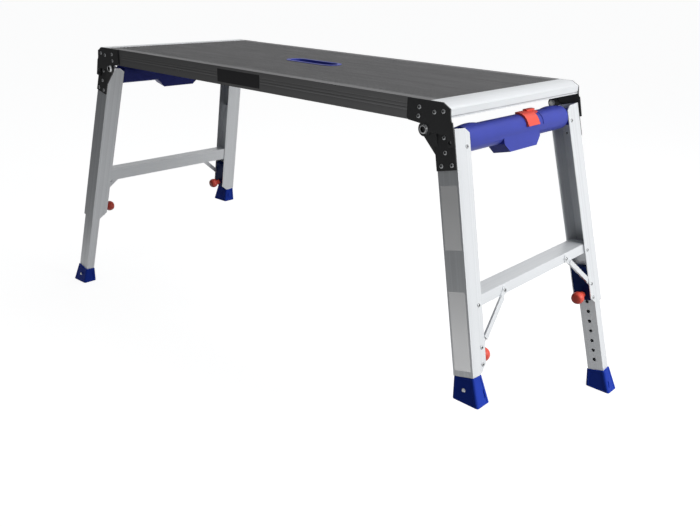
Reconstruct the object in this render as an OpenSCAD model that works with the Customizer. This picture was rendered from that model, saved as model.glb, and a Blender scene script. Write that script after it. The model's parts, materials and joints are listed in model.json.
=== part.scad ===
// Folding aluminium work platform with four legs that adjust one by one.
// +X is the long way of the deck, the near end is at +X and the front side at -Y.
// The deck's top is first drawn at z = 0 and then lifted, so that the lowest sole is at z = 0.
// The far leg frame is the near one turned half a turn about the deck's centre.

/* [Deck] */
// Length of the deck over its end rails
deck_l = 1194; // [1000:1:1500]
// Width of the deck over its side rails
deck_w = 490; // [400:1:600]
// Height of the side rails
rail_h = 42; // [36:1:60]
// Width of a side rail's flanges
rail_flange = 25; // [18:1:32]
// Wall of the rails and planks
rail_wall = 2.5; // [2:0.1:4]
// Number of deck planks side by side
plank_count = 3; // [2:1:5]
// Gap between planks
plank_gap = 0.6; // [0.3:0.1:2]
// Number of ribs on one plank
plank_ribs = 14; // [8:1:20]
// Height of a rib
rib_h = 1.2; // [0.6:0.1:2]
// Height of a plank
plank_h = 27; // [22:0.5:29]
// Number of cross members under the planks
cross_count = 4; // [2:2:4]
// Width of a cross member
cross_w = 30; // [20:1:50]

/* [End rails] */
// Width of an end rail's top
end_top = 47; // [40:1:60]
// Height of an end rail
end_h = 27; // [20:1:34]
// Length of the bevel along the deck
bevel_x = 17; // [10:1:24]
// Height of the bevel
bevel_z = 10; // [6:0.5:14]
// Thickness of an end rail's closed ends
end_cap_t = 3; // [2:0.5:5]

/* [Carry grip] */
// Length of the grip's rim
grip_l = 170; // [140:1:200]
// Width of the grip's rim
grip_w = 62; // [50:1:80]
// Width of the rim around the hand hole
grip_rim = 10; // [6:0.5:14]
// Height of the rim above the ribs
grip_lip = 1.2; // [0.8:0.1:3]
// Depth of the grip's wall
grip_depth = 32; // [20:1:40]
// Length of the blank plate on the front rail
plate_l = 148; // [80:1:200]
// Height of the blank plate
plate_h = 30; // [20:1:34]

/* [Leg frames] */
// Lean of the leg frames along the deck, in degrees
lean = 13.65; // [8:0.05:18]
// Splay of the stiles across the deck, in degrees
splay = 4.25; // [2:0.05:6]
// Distance of the stiles' outer plane from the deck's end, at deck level
stile_in_x = 5; // [0:0.5:12]
// Distance of the stiles' web from the deck's side, at deck level
stile_in_y = 9.6; // [9.6:0.1:14]
// Width of a stile along the deck
stile_w = 46; // [40:0.5:60]
// Depth of a stile across the deck
stile_d = 48; // [44:0.5:60]
// Wall of a stile
stile_wall = 2.5; // [2:0.1:3]
// Where a stile begins, measured down the leg from the side rail's height
stile_top = 5; // [4:0.5:12]
// Distance of a stile's end above the sole of a pushed-in leg, measured up the leg
stile_end = 57.866; // [20:0.001:100]
// Step of the flange's inner half
flange_step = 0.8; // [0.4:0.1:1]
// Bevel across a flange's lower corner
flange_bevel = 20; // [10:1:21]

/* [Brackets] */
// Thickness of the black steel plates
plate_t = 3; // [2:0.25:4]
// Reach of a rail bracket from the pivot towards the deck's middle
bracket_in = 43; // [34:1:60]
// How far a rail bracket's plate reaches below the side rail
bracket_h = 12; // [8:1:18]
// Distance of a pivot from the deck's end
pivot_in_x = 56; // [50:0.5:62]
// Distance of a pivot below the side rail
pivot_drop = 12.3; // [12.3:0.1:14]
// Radius of a pivot bolt
pivot_r = 4; // [3:0.25:4.5]
// Radius of a leg bracket's lobe
lobe_r = 11.5; // [9:0.25:11.8]
// Radius of a rail bracket's lobe
rail_lobe_r = 14; // [12:0.5:18]
// Where a leg bracket ends, measured down the leg from the side rail's height
leg_bracket_end = 80; // [77:1:98]
// Where the latch ear ends, measured down the leg from the side rail's height
ear_end = 37; // [35:0.5:42]
// Width of the latch ear
ear_w = 13; // [12:0.5:16]

/* [Rung and struts] */
// Distance of the rung's top above the stiles' ends, measured up the leg
rung_top = 150; // [140:1:190]
// Height of the rung's outer face
rung_h = 21; // [16:1:30]
// Wall of the rung
rung_wall = 2; // [1.5:0.1:3]
// Half the distance between a rung's two strut bolts
strut_y = 129; // [100:1:150]
// Distance of the struts' lower rivets above the stiles' ends, measured up the leg
strut_end = 52; // [45:1:70]
// Width of a strut's flattened end
strut_flat = 16; // [12:0.5:20]
// Width of a strut between its ends
strut_w = 12; // [8:0.5:14]
// Thickness of a strut's flattened ends
strut_flat_t = 2; // [1.5:0.1:3]
// Thickness of a strut between its ends
strut_t = 5; // [3:0.25:6]

/* [Latch] */
// Radius of the latch housing
bar_r = 26; // [24:0.5:27]
// Wall of the latch housing
bar_wall = 3; // [2:0.25:4]
// Where the housing's axis lies, measured down the leg from the side rail's height
bar_s = 30; // [29:0.5:33]
// Length of the finger pocket's box
pocket_l = 140; // [120:1:160]
// Depth of the pocket's box below the housing's axis
pocket_h = 44; // [38:0.5:50]
// Place of the trigger along the bar
trigger_y = 36; // [30:1:90]
// Length of the trigger along the bar
trigger_l = 46; // [36:1:60]
// Length of the hollow beside the trigger
recess_l = 24; // [8:1:24]
// Thickness of the trigger
trigger_t = 4; // [3:0.25:6]
// Radius of a latch bolt
bolt_r = 3; // [2.5:0.1:3.2]
// Distance of a latch bolt's inner end from the deck's middle plane
bolt_inner = 104; // [100:1:140]

/* [Legs and feet] */
// Distance between pin holes
hole_pitch = 25.4; // [20:0.1:30]
// Number of pin holes in a leg
hole_count = 8; // [5:1:8]
// Radius of a pin hole
hole_r = 4.4; // [3.5:0.1:5]
// Width of an inner leg
leg_w = 40; // [34:0.5:40.5]
// Depth of an inner leg
leg_d = 25; // [20:0.5:26]
// Wall of an inner leg
leg_wall = 2; // [1.5:0.1:3]
// Where an inner leg begins when it is pushed in, measured down the leg
leg_top = 215; // [200:1:240]
// Depth of a sole below the deck when the leg is pushed in
sole_depth = 560; // [500:1:620]
// Flare of a boot away from the deck's middle
boot_flare = 7; // [2:0.5:12]
// Flare of a boot towards the deck's middle
boot_back = 6; // [2:0.5:10]
// Depth of a sole across the deck
sole_w = 41; // [34:0.5:48]
// Depth of a boot's top across the deck
boot_top_d = 30; // [29:0.5:34]
// Pitches by which two legs stand out at rest
steps_out = 7; // [0:1:7]

/* [Knobs] */
// Distance of the knob's axis above the stile's end
knob_up = 27; // [24:0.5:30]
// Radius of the locking pin
pin_r = 4; // [3:0.1:4.2]
// Radius of the knob's ball
knob_r = 15; // [12:0.5:17]
// Radius of the knob's neck
neck_r = 8; // [6:0.5:10]
// Distance of the ball's centre from the stile's web
knob_out = 70; // [70:0.5:80]
// Height of the navy guide block
guide_h = 83; // [60:1:100]
// Depth of the guide block
guide_d = 18; // [14:0.5:19]

/* [Fasteners] */
// Radius of a rivet's shank
rivet_r = 2.4; // [1.8:0.1:3]
// Radius of a rivet's head
rivet_head_r = 4.4; // [3.4:0.1:5]
// Height of a rivet's head
rivet_head_h = 1.8; // [1:0.1:3]

/* [Clearances] */
// Gap between pieces that slide or turn past each other
run_gap = 0.3; // [0.2:0.05:0.5]
// Radial gap of a pin or bolt in its hole
pin_gap = 0.06; // [0.02:0.01:0.1]
// Gap between a leg and the stile's web
web_gap = 0.3; // [0.2:0.05:0.6]

/* [Hidden] */
$fn = 40;
eps = 0.01;

// Colours as in the photograph
aluminium = [0.80, 0.82, 0.84];
deck_grey = [0.36, 0.36, 0.37];
steel_black = [0.16, 0.17, 0.18];
steel_bright = [0.75, 0.76, 0.78];
blue = [0.16, 0.18, 0.62];
navy = [0.02, 0.06, 0.30];
red = [0.90, 0.28, 0.22];
sticker_grey = [0.62, 0.63, 0.64];

FRONT = -1;
BACK = 1;
NEAR = 0;
FAR = 180;

// Places worked out from the sizes above
leg_cos = cos(lean) * cos(splay);
// Where the stiles end, the rung begins and the struts meet the stiles, down the leg
stile_low = sole_depth / leg_cos - stile_end;
rung_s = stile_low - rung_top;
strut_low = stile_low - strut_end;
// Lower ends and places of what hangs under the side rails, down the leg from deck level
plate_low = rail_h + bracket_h;
stile_s = rail_h + stile_top;
leg_plate_low = rail_h + leg_bracket_end;
ear_low = rail_h + ear_end;
axis_s = rail_h + bar_s;
travel = (hole_count - 1) * hole_pitch;
rest_out = min(steps_out, hole_count - 1) * hole_pitch;
deck_h = sole_depth + rest_out * leg_cos;
frame_x = deck_l / 2 - stile_in_x;
web_y = deck_w / 2 - stile_in_y;
pivot_x = deck_l / 2 - pivot_in_x;
pivot_z = -(rail_h + pivot_drop);
channel_w = stile_w - 2 * stile_wall;
leg_in_y = stile_wall + web_gap;
leg_face_y = leg_in_y + leg_d;
knob_s = stile_low - knob_up;
plank_w = (deck_w - 2 * rail_flange - (plank_count + 1) * plank_gap) / plank_count;
plank_l = deck_l - 2 * end_top - 2 * plank_gap;
bar_x = -(bar_r + 1);
bar_z = -axis_s * cos(splay);
bar_back = -stile_w + 1;
// Place of the latch bolts across a stile and down the leg
latch_x = -8;
latch_s = axis_s - 1;
latch_z = -latch_s * cos(splay);
rivet_hole_r = rivet_r + pin_gap;
// Hole that a latch bolt passes on the slant through the splayed plates
slant_hole_r = bolt_r + 0.6;
rail_bracket_y = deck_w / 2;
// Outer face of the inner plates that turn on the pivots
lobe_y = rail_bracket_y - run_gap - plate_t;
// Inner end of the channel's free depth, next to the leg
inner_y = leg_face_y + run_gap;
// Depth of the rung's and the guide block's faces behind the stile's outer plane
inset_x = stile_wall + strut_flat_t + run_gap;
// Depth of the rivets in the stiles' outer flanges, from the web
flange_y = stile_d - 11;
sticker_t = 0.3;
leg_foot_s = stile_low + 35;
screw_s = stile_low + 26;
boot_gap = run_gap;
pin_tip_gap = 0.4;
neck_stroke = 7;
boot_side = 4;
boot_draw = 90;
guide_low = 13;
// Length and rise of the bulge near each end of the housing, and its place from the end
bulge_l = 60;
bulge_rise = 3;
bulge_in = 34;
// Length of the trigger's wing and of the notch before its raised lip
wing_l = 16;
lip_in = 31;

// Lifts the whole part so that it stands on z = 0
module lift() {
    translate([0, 0, deck_h])
        children();
}

// Mirrors what is drawn on the front side to the back side when side is BACK
module on_side(side) {
    if (side == BACK)
        mirror([0, 1, 0])
            children();
    else
        children();
}

// The leaning plane of a leg frame: x = 0 is the stiles' outer plane and -z runs down the leg
module frame_place(end) {
    lift()
        rotate([0, 0, end])
            translate([frame_x, 0, 0])
                rotate([0, -lean, 0])
                    children();
}

// A stile's own place in the leaning frame: its outer corner runs down -z, y points inwards
module in_stile(side) {
    on_side(side)
        translate([0, -web_y, 0])
            rotate([-splay, 0, 0])
                children();
}

module stile_place(end, side) {
    frame_place(end)
        in_stile(side)
            children();
}

// A box from low to high corner
module block(low, high) {
    translate(low)
        cube(high - low);
}

// A rivet through plates of thickness grip, its head on z = 0 side, pointing up
module rivet(grip) {
    translate([0, 0, -grip])
        cylinder(r = rivet_r, h = grip + eps);
    cylinder(r1 = rivet_head_r, r2 = rivet_head_r * 0.6, h = rivet_head_h);
}

// Rivet places on a rail bracket, in the XZ plane from the deck's centre
function rail_rivet_places() = [
    [deck_l / 2 - end_top - bracket_in * 0.535, -rail_h * 0.357],
    [deck_l / 2 - end_top - bracket_in * 0.558, -rail_h * 0.762],
    [deck_l / 2 - end_top * 0.745, -end_h * 0.741],
    [deck_l / 2 - end_top * 0.319, -end_h * 0.593]
];

// Rivet places on a leg bracket: x across the stile and distance down the leg
function leg_rivet_places() = [
    [-stile_w / 2, stile_s + 14],
    [-stile_w / 2, leg_plate_low - 33],
    [-stile_w / 2 - 11, leg_plate_low - 9],
    [-stile_w / 2 + 13, leg_plate_low - 9]
];

// Rivet places on a stile's outer flange: y from the web and distance down the leg
function flange_rivet_places() = [
    [flange_y - 1, axis_s + 9],
    [flange_y, rung_s + rung_h * 2 / 3],
    [flange_y, strut_low],
    [flange_y, knob_s + 9]
];

// One deck plank: a ribbed top with three webs under it
module plank() {
    pitch = plank_w / plank_ribs;
    land = pitch * 0.62;
    half = plank_w / 2;
    rotate([90, 0, 90])
        linear_extrude(plank_l, center = true)
            union() {
                polygon(concat(
                    [[-half, -rail_wall], [-half, -rib_h]],
                    [for (i = [0:plank_ribs - 1], p = [[0.5, 0], [0.5, 1], [-0.5, 1], [-0.5, 0]])
                        let (c = -half + (i + 0.5) * pitch)
                        [c - p[0] * land, -rib_h * (1 - p[1])]],
                    [[half, -rib_h], [half, -rail_wall]]
                ));
                for (y = [-half, -rail_wall / 2, half - rail_wall])
                    translate([y, -plank_h])
                        square([rail_wall, plank_h - rail_wall + eps]);
            }
}

module deck_planks() {
    color(deck_grey)
        lift()
            for (i = [0:plank_count - 1])
                translate([0, (i - (plank_count - 1) / 2) * (plank_w + plank_gap), 0])
                    difference() {
                        plank();
                        translate([0, -(i - (plank_count - 1) / 2) * (plank_w + plank_gap), 0])
                            grip_body(plank_gap);
                    }
}

// The grip's wall outline, larger all round by grow
module grip_body(grow) {
    r = (grip_w - 2 * grip_rim) / 2 + rail_wall + grow;
    reach = grip_l / 2 - grip_rim - (grip_w - 2 * grip_rim) / 2;
    translate([0, 0, -grip_depth - eps])
        linear_extrude(grip_depth + 2 * eps)
            slot(reach, r);
}

// A slot along x with round ends
module slot(reach, r) {
    union() {
        square([2 * reach, 2 * r], center = true);
        for (x = [-reach, reach])
            translate([x, 0])
                circle(r = r);
    }
}

module carry_grip() {
    r = (grip_w - 2 * grip_rim) / 2;
    reach = grip_l / 2 - grip_rim - r;
    color(blue)
        lift()
            difference() {
                union() {
                    linear_extrude(grip_lip)
                        slot(reach, grip_w / 2);
                    translate([0, 0, -grip_depth])
                        linear_extrude(grip_depth + eps)
                            slot(reach, r + rail_wall);
                }
                translate([0, 0, -grip_depth - 1])
                    linear_extrude(grip_depth + grip_lip + 2)
                        slot(reach, r);
            }
}

// A side rail, drawn on the front side: a channel with three fine grooves
module side_rail(side) {
    groove = 0.5;
    color(deck_grey)
        lift()
            on_side(side)
                translate([0, -deck_w / 2, 0])
                    difference() {
                        rotate([90, 0, 90])
                            linear_extrude(plank_l, center = true)
                                polygon([
                                    [0, -rail_h], [0, -rail_h * 0.62], [groove, -rail_h * 0.60],
                                    [0, -rail_h * 0.58], [0, -rail_h * 0.47],
                                    [groove, -rail_h * 0.45], [0, -rail_h * 0.43],
                                    [0, -rail_h * 0.32], [groove, -rail_h * 0.30],
                                    [0, -rail_h * 0.28], [0, 0],
                                    [rail_flange, 0], [rail_flange, -rail_wall],
                                    [rail_wall, -rail_wall], [rail_wall, rail_wall - rail_h],
                                    [rail_flange, rail_wall - rail_h], [rail_flange, -rail_h]
                                ]);
                        for (s = [-1, 1], p = rail_rivet_places())
                            translate([s * p[0], -1, p[1]])
                                rotate([-90, 0, 0])
                                    cylinder(r = rivet_hole_r, h = 10);
                    }
}

// The near end rail: a bevelled box section with closed ends
module end_rail(end) {
    out = deck_l / 2;
    t = rail_wall;
    color(aluminium)
        lift()
            rotate([0, 0, end])
                difference() {
                    rotate([90, 0, 0])
                        linear_extrude(deck_w, center = true)
                            polygon([
                                [out - end_top, 0], [out - bevel_x, 0], [out, -bevel_z],
                                [out, -end_h], [out - end_top, -end_h]
                            ]);
                    rotate([90, 0, 0])
                        linear_extrude(deck_w - 2 * end_cap_t, center = true)
                            polygon([
                                [out - end_top + t, -t], [out - bevel_x - 0.8, -t],
                                [out - t, -bevel_z - 0.8], [out - t, -end_h + t],
                                [out - end_top + t, -end_h + t]
                            ]);
                    for (s = [-1, 1], p = rail_rivet_places())
                        translate([p[0], s * deck_w / 2, p[1]])
                            rotate([90, 0, 0])
                                cylinder(r = rivet_hole_r, h = 4 * end_cap_t, center = true);
                    block([out - end_top + 4, -deck_w, -1], [out - end_top + 6.5, deck_w, 1]);
                    // the step above the lower lip and a fine line under the bevel
                    block([out - 1.5, -deck_w, 2.6 - end_h], [out + 1, deck_w, 4.6 - end_h]);
                    block([out - 0.4, -deck_w, -bevel_z - 4.4], [out + 1, deck_w, -bevel_z - 3.8]);
                }
}

module cross_members() {
    width = deck_w - 2 * rail_wall - 2 * plank_gap;
    pitch = plank_l / cross_count;
    color(aluminium)
        lift()
            for (i = [0:cross_count - 1])
                translate([(i - (cross_count - 1) / 2) * pitch, 0, 0])
                    difference() {
                        block(
                            [-cross_w / 2, -width / 2, rail_wall - rail_h],
                            [cross_w / 2, width / 2, -plank_h]
                        );
                        block(
                            [-cross_w / 2 + 2, -width / 2 - 1, rail_wall - rail_h + 2],
                            [cross_w / 2 - 2, width / 2 + 1, -plank_h - 2]
                        );
                    }
}

module rail_plate() {
    color(steel_black)
        lift()
            block(
                [-plate_l / 2, -deck_w / 2 - 0.6, -(rail_h + plate_h) / 2],
                [plate_l / 2, -deck_w / 2, -(rail_h - plate_h) / 2]
            );
}

// Outline of a rail bracket in the XZ plane: plate, pivot lobe and latch ear
module rail_bracket_outline() {
    out = deck_l / 2;
    top_x = out - bevel_x;
    difference() {
        union() {
            polygon([
                [pivot_x - bracket_in, 0], [top_x, 0], [out, -bevel_z],
                [out + 2, -end_h], [frame_x + lobe_shift(plate_low + 4), -plate_low - 4],
                [pivot_x - 8, -plate_low - 4], [pivot_x - 8, -rail_h - 3],
                [pivot_x - bracket_in + 4, -rail_h], [pivot_x - bracket_in, -rail_h + 4]
            ]);
            translate([pivot_x, pivot_z])
                circle(r = rail_lobe_r);
            translate([frame_x, 0])
                rotate(lean)
                    translate([-ear_w, -ear_low])
                        square([ear_w + plate_t, ear_low - end_h - 8]);
        }
        translate([pivot_x, pivot_z])
            circle(r = pivot_r + pin_gap);
        translate([frame_x, 0])
            rotate(lean)
                translate([latch_x, latch_z])
                    circle(r = slant_hole_r);
        for (p = rail_rivet_places())
            translate(p)
                circle(r = rivet_hole_r);
    }
}

// How far the leaning outer plane has moved out at a depth below the deck
function lobe_shift(depth) = depth * tan(lean) + plate_t;

module rail_bracket(end, side) {
    color(steel_black)
        lift()
            rotate([0, 0, end])
                on_side(side)
                    translate([0, -rail_bracket_y, 0])
                        rotate([90, 0, 0])
                            linear_extrude(plate_t)
                                rail_bracket_outline();
}

// All places of the four rail brackets: end and side
function corners() = [[NEAR, FRONT], [NEAR, BACK], [FAR, FRONT], [FAR, BACK]];

module rail_rivets() {
    color(steel_bright)
        lift()
            for (c = corners(), p = rail_rivet_places())
                rotate([0, 0, c[0]])
                    on_side(c[1])
                        translate([p[0], -rail_bracket_y - plate_t, p[1]])
                            rotate([90, 0, 0])
                                rivet(plate_t + rail_wall);
}

module pivot_bolts() {
    color(steel_bright)
        lift()
            for (c = corners())
                rotate([0, 0, c[0]])
                    on_side(c[1])
                        translate([pivot_x, -rail_bracket_y - plate_t, pivot_z])
                            rotate([90, 0, 0]) {
                                translate([0, 0, -2 * plate_t - 10])
                                    cylinder(r = pivot_r, h = 2 * plate_t + 10 + eps);
                                cylinder(r = pivot_r * 2.1, h = 1.5, $fn = 40);
                                cylinder(r = pivot_r * 1.7, h = 5, $fn = 6);
                            }
}

module pivot_nuts() {
    color(steel_bright)
        lift()
            for (c = corners())
                rotate([0, 0, c[0]])
                    on_side(c[1])
                        translate([pivot_x, -lobe_y + run_gap, pivot_z])
                            rotate([-90, 0, 0])
                                difference() {
                                    cylinder(r = pivot_r * 1.7, h = 6, $fn = 6);
                                    translate([0, 0, -1])
                                        cylinder(r = pivot_r, h = 8);
                                }
}

// Section of a stile: a channel that opens inwards, its web at y = 0
module stile_section() {
    t = stile_wall;
    mid = stile_d * 0.46;
    polygon([
        [0, 0], [0, mid], [-flange_step, mid + 1.5], [-flange_step, stile_d],
        [-t, stile_d], [-t, t],
        [t - stile_w, t], [t - stile_w, stile_d],
        [flange_step - stile_w, stile_d], [flange_step - stile_w, mid + 1.5],
        [-stile_w, mid], [-stile_w, 0]
    ]);
}

module stile(end, side) {
    color(aluminium)
        stile_place(end, side)
            difference() {
                translate([0, 0, -stile_low])
                    linear_extrude(stile_low - stile_s)
                        stile_section();
                // bevels across the flanges' corners, top and bottom
                rotate([90, 0, 90])
                    linear_extrude(3 * stile_w, center = true) {
                        polygon([
                            [stile_d + 1, -stile_low - 1], [stile_d - flange_bevel, -stile_low - 1],
                            [stile_d - flange_bevel, -stile_low],
                            [stile_d, -stile_low + flange_bevel * 0.9],
                            [stile_d + 1, -stile_low + flange_bevel * 0.9]
                        ]);
                        polygon([
                            [stile_d + 1, -stile_s + 1], [stile_d - 14, -stile_s + 1],
                            [stile_d - 14, -stile_s], [stile_d, -stile_s - 9],
                            [stile_d + 1, -stile_s - 9]
                        ]);
                    }
                for (p = leg_rivet_places())
                    translate([p[0], -1, -p[1]])
                        rotate([-90, 0, 0])
                            cylinder(r = rivet_hole_r, h = stile_wall + 2);
                for (p = flange_rivet_places())
                    translate([-stile_wall - 1, p[0], -p[1]])
                        rotate([0, 90, 0])
                            cylinder(r = rivet_hole_r, h = stile_wall + 2);
                translate([latch_x, -1, -latch_s])
                    rotate([-90, 0, 0])
                        cylinder(r = slant_hole_r, h = stile_wall + 2);
            }
}

// A leg bracket: a plate riveted on the stile's web and an upright lobe on the pivot
module leg_bracket(end, side) {
    color(steel_black)
        union() {
            stile_place(end, side)
                difference() {
                    block([-stile_w, -plate_t, -leg_plate_low], [0, 0, -stile_s - 1]);
                    for (p = leg_rivet_places())
                        translate([p[0], 1, -p[1]])
                            rotate([90, 0, 0])
                                cylinder(r = rivet_hole_r, h = plate_t + 2);
                    translate([latch_x, 1, -latch_s])
                        rotate([90, 0, 0])
                            cylinder(r = slant_hole_r, h = plate_t + 2);
                }
            frame_place(end)
                on_side(side)
                    translate([0, -lobe_y, 0])
                        rotate([90, 0, 0])
                            linear_extrude(plate_t)
                                leg_lobe_outline();
        }
}

// The pivot in the leaning frame's own plane
function pivot_frame() = let (dx = pivot_x - frame_x, dz = pivot_z)
    [dx * cos(lean) + dz * sin(lean), -dx * sin(lean) + dz * cos(lean)];

module leg_lobe_outline() {
    p = pivot_frame();
    difference() {
        union() {
            translate(p)
                circle(r = lobe_r);
            polygon([
                [p[0] - lobe_r * 0.86, p[1] - lobe_r * 0.5],
                [p[0] - 2, p[1] + lobe_r * 0.9],
                [-stile_w + 8, -stile_s - 1],
                [-stile_w + 8, -stile_s - 28],
                [-stile_w, -stile_s - 28],
                [-stile_w, -stile_s - 44]
            ]);
        }
        translate(p)
            circle(r = pivot_r + pin_gap);
    }
}

// Holes for a flange rivet, cut in a piece inside the channel
module flange_rivet_holes(numbers) {
    for (side = [FRONT, BACK], i = numbers)
        in_stile(side)
            translate([-stile_wall - 14, flange_rivet_places()[i][0], -flange_rivet_places()[i][1]])
                rotate([0, 90, 0])
                    cylinder(r = rivet_hole_r, h = stile_wall + 16);
}

// Distance from the middle plane to a place inside the channel, y from the web's outer face
function inside_y(s, y) = web_y + s * sin(splay) - y * cos(splay);

// Where the struts' upper rivets sit, measured down the leg
function strut_s() = rung_s + rung_h * 0.62;

// The rung: a hollow step with a level tread, lower at its outer face
module rung(end) {
    xo = -inset_x;
    xi = stile_wall + 2 * run_gap - stile_w;
    rise = (xo - xi) * tan(lean);
    drop = 7;
    s0 = rung_s;
    s1 = rung_s + rung_h;
    w = rung_wall;
    half = inside_y(s0 - rise, inner_y);
    color(aluminium)
        frame_place(end)
            difference() {
                union() {
                    rotate([90, 0, 0])
                        linear_extrude(2 * half, center = true)
                            polygon([[xo, -s0], [xo, -s1], [xi, -s1 - drop], [xi, -s0 + rise]]);
                    // pads that bear on the stiles' outer flanges
                    for (side = [FRONT, BACK])
                        in_stile(side)
                            block(
                                [xo - w / 2, inner_y + 2, -s1],
                                [-stile_wall - run_gap, stile_d - 3, -s0]
                            );
                }
                rotate([90, 0, 0])
                    linear_extrude(2 * half + 2, center = true)
                        polygon([
                            [xo - w, -s0 - w * 0.8], [xo - w, -s1 + w],
                            [xi + w, -s1 - drop + w * 1.3], [xi + w, -s0 + rise - w * 1.5]
                        ]);
                flange_rivet_holes([1]);
                for (y = [-strut_y, strut_y])
                    translate([xo, y, -strut_s()])
                        rotate([0, 90, 0])
                            cylinder(r = rivet_hole_r, h = 12, center = true);
            }
}

// A strut with flattened round ends, from the rung's outer face down to a stile's flange
module struts(end) {
    low = [inside_y(strut_low, flange_y), strut_low * cos(splay) + flange_y * sin(splay)];
    run = low[0] - strut_y;
    fall = low[1] - strut_s();
    long = sqrt(run * run + fall * fall);
    turn = atan2(fall, run);
    color(aluminium)
        frame_place(end)
            for (side = [FRONT, BACK])
                on_side(side)
                    translate([-inset_x, -strut_y, -strut_s()])
                        rotate([turn, 0, 0])
                            strut_bar(long, turn + splay);
}

// A strut of a length between its rivets, at an angle to the flange it ends on
module strut_bar(long, steep) {
    // the thick middle starts clear of the flange's edge
    low_end = (stile_d - flange_y + 0.7 + sin(steep) * strut_w / 2) / cos(steep);
    high_end = strut_flat;
    difference() {
        union() {
            for (y = [0, -long])
                translate([0, y, 0])
                    rotate([0, 90, 0])
                        cylinder(r = strut_flat / 2, h = strut_flat_t);
            block([0, -long, -strut_w / 2], [strut_flat_t, 0, strut_w / 2]);
            block(
                [0, low_end - long, -strut_w / 2],
                [strut_t, -high_end, strut_w / 2]
            );
        }
        for (y = [0, -long])
            translate([-1, y, 0])
                rotate([0, 90, 0])
                    cylinder(r = rivet_hole_r, h = strut_flat_t + 2);
    }
}

// Section of the latch housing: round outside, flat towards the deck's middle
module bar_section(r, back) {
    intersection() {
        translate([bar_x, bar_z])
            circle(r = r);
        translate([back, bar_z - r - 1])
            square([bar_x + r - back + 1, 2 * r + 2]);
    }
}

// Half the length of the housing between the stiles' flanges
function bar_half() = inside_y(axis_s - bar_r, stile_d) - run_gap;

module latch_housing(end) {
    plug_x = [stile_wall + run_gap - stile_w, -stile_wall - run_gap];
    plug_s = [axis_s - 16, axis_s + 16];
    front = -5;
    color(blue)
        frame_place(end) {
            difference() {
                union() {
                    difference() {
                        rotate([90, 0, 0])
                            linear_extrude(2 * bar_half(), center = true)
                                bar_section(bar_r, bar_back);
                        rotate([90, 0, 0])
                            linear_extrude(2 * bar_half() - 2 * bar_wall, center = true)
                                bar_section(bar_r - bar_wall, bar_back + bar_wall);
                    }
                    // the box of the finger pocket, solid but for the pocket
                    rotate([90, 0, 90])
                        translate([0, 0, bar_back])
                            linear_extrude(front - bar_back)
                                polygon([
                                    [-pocket_l / 2, bar_z - 12], [pocket_l / 2, bar_z - 12],
                                    [pocket_l / 2, bar_z - bar_r],
                                    [pocket_l / 2 - 18, bar_z - pocket_h],
                                    [-pocket_l / 2 + 18, bar_z - pocket_h],
                                    [-pocket_l / 2, bar_z - bar_r]
                                ]);
                    // plugs in the stiles' channels and the bearings of the trigger
                    for (side = [FRONT, BACK])
                        in_stile(side) {
                            block(
                                [plug_x[0], stile_wall + run_gap, -plug_s[1]],
                                [plug_x[1], stile_d - 1, -plug_s[0]]
                            );
                            block(
                                [plug_x[0] + 4, stile_d - 8, -plug_s[1]],
                                [-12, stile_d + 4, -plug_s[0]]
                            );
                        }
                    for (side = [FRONT, BACK])
                        on_side(side)
                            translate([bar_x, bulge_in - bar_half(), bar_z])
                                housing_bulge();
                    for (y = trigger_bearings())
                        translate([0, y, 0])
                            rotate([90, 0, 0])
                                linear_extrude(bar_wall)
                                    bar_section(bar_r - bar_wall + eps, bar_back + 1);
                }
                finger_pocket_hole();
                trigger_slot();
                latch_bolt_holes();
                flange_rivet_holes([0]);
            }
            // the trigger's axle
            translate([bar_x, trigger_bearings()[0] - 1, bar_z])
                rotate([-90, 0, 0])
                    cylinder(
                        r = bolt_r,
                        h = trigger_bearings()[1] - trigger_bearings()[0] - bar_wall + 2
                    );
        }
}

// A smooth bulge over the latch, thickest in its middle and flush at its ends
module housing_bulge() {
    off = 8;
    round_r = (bulge_l * bulge_l / 4 + bulge_rise * bulge_rise) / (2 * bulge_rise);
    top_r = bar_r + bulge_rise - off;
    difference() {
        rotate([0, -15, 0])
            translate([0, 0, off])
                rotate([90, 0, 0])
                    rotate_extrude()
                        intersection() {
                            translate([top_r - round_r, 0])
                                circle(r = round_r);
                            translate([0, -bulge_l / 2 - 1])
                                square([top_r + 1, bulge_l + 2]);
                        }
        rotate([90, 0, 0])
            cylinder(r = bar_r - 1.5, h = 2 * bulge_l, center = true);
    }
}

// The two walls that hold the trigger's axle, along the bar
function trigger_bearings() = [
    trigger_y - trigger_l / 2 - 4,
    trigger_y + trigger_l / 2 + recess_l + bar_wall
];

module finger_pocket_hole() {
    wall = 5;
    block(
        [bar_back + wall, -pocket_l / 2 + 24, bar_z - pocket_h - 1],
        [-5 - wall, pocket_l / 2 - 24, bar_z - bar_r + bar_wall + 2]
    );
}

// Slot for the trigger's stem, and the hollow beside the trigger
module trigger_slot() {
    low = trigger_y - 8;
    high = trigger_y + 8;
    translate([bar_x, 0, bar_z])
        rotate([90, 0, 0])
            translate([0, 0, -high])
                linear_extrude(high - low)
                    union() {
                        polygon([[0, 0], [30, 4], [30, 60], [-12, 60], [-12, 12]]);
                        circle(r = 8);
                    }
    translate([bar_x, trigger_y + trigger_l / 2, bar_z])
        rotate([-90, 0, 0])
            difference() {
                cylinder(r = bar_r + 6, h = recess_l);
                translate([0, 0, -1])
                    cylinder(r = bar_r - 1.2, h = recess_l + 2);
                translate([-bar_r - 10, 4, -1])
                    cube([2 * bar_r + 20, bar_r + 10, recess_l + 2]);
                translate([-bar_r - 10, -bar_r - 10, -1])
                    cube([bar_r + 2, 2 * bar_r + 20, recess_l + 2]);
            }
}

module latch_bolt_holes() {
    for (side = [FRONT, BACK])
        on_side(side)
            translate([latch_x, -web_y - 20, latch_z])
                rotate([-90, 0, 0])
                    cylinder(r = bolt_r + pin_gap, h = web_y + 20 - bar_half() + bar_wall + 1);
}

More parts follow.
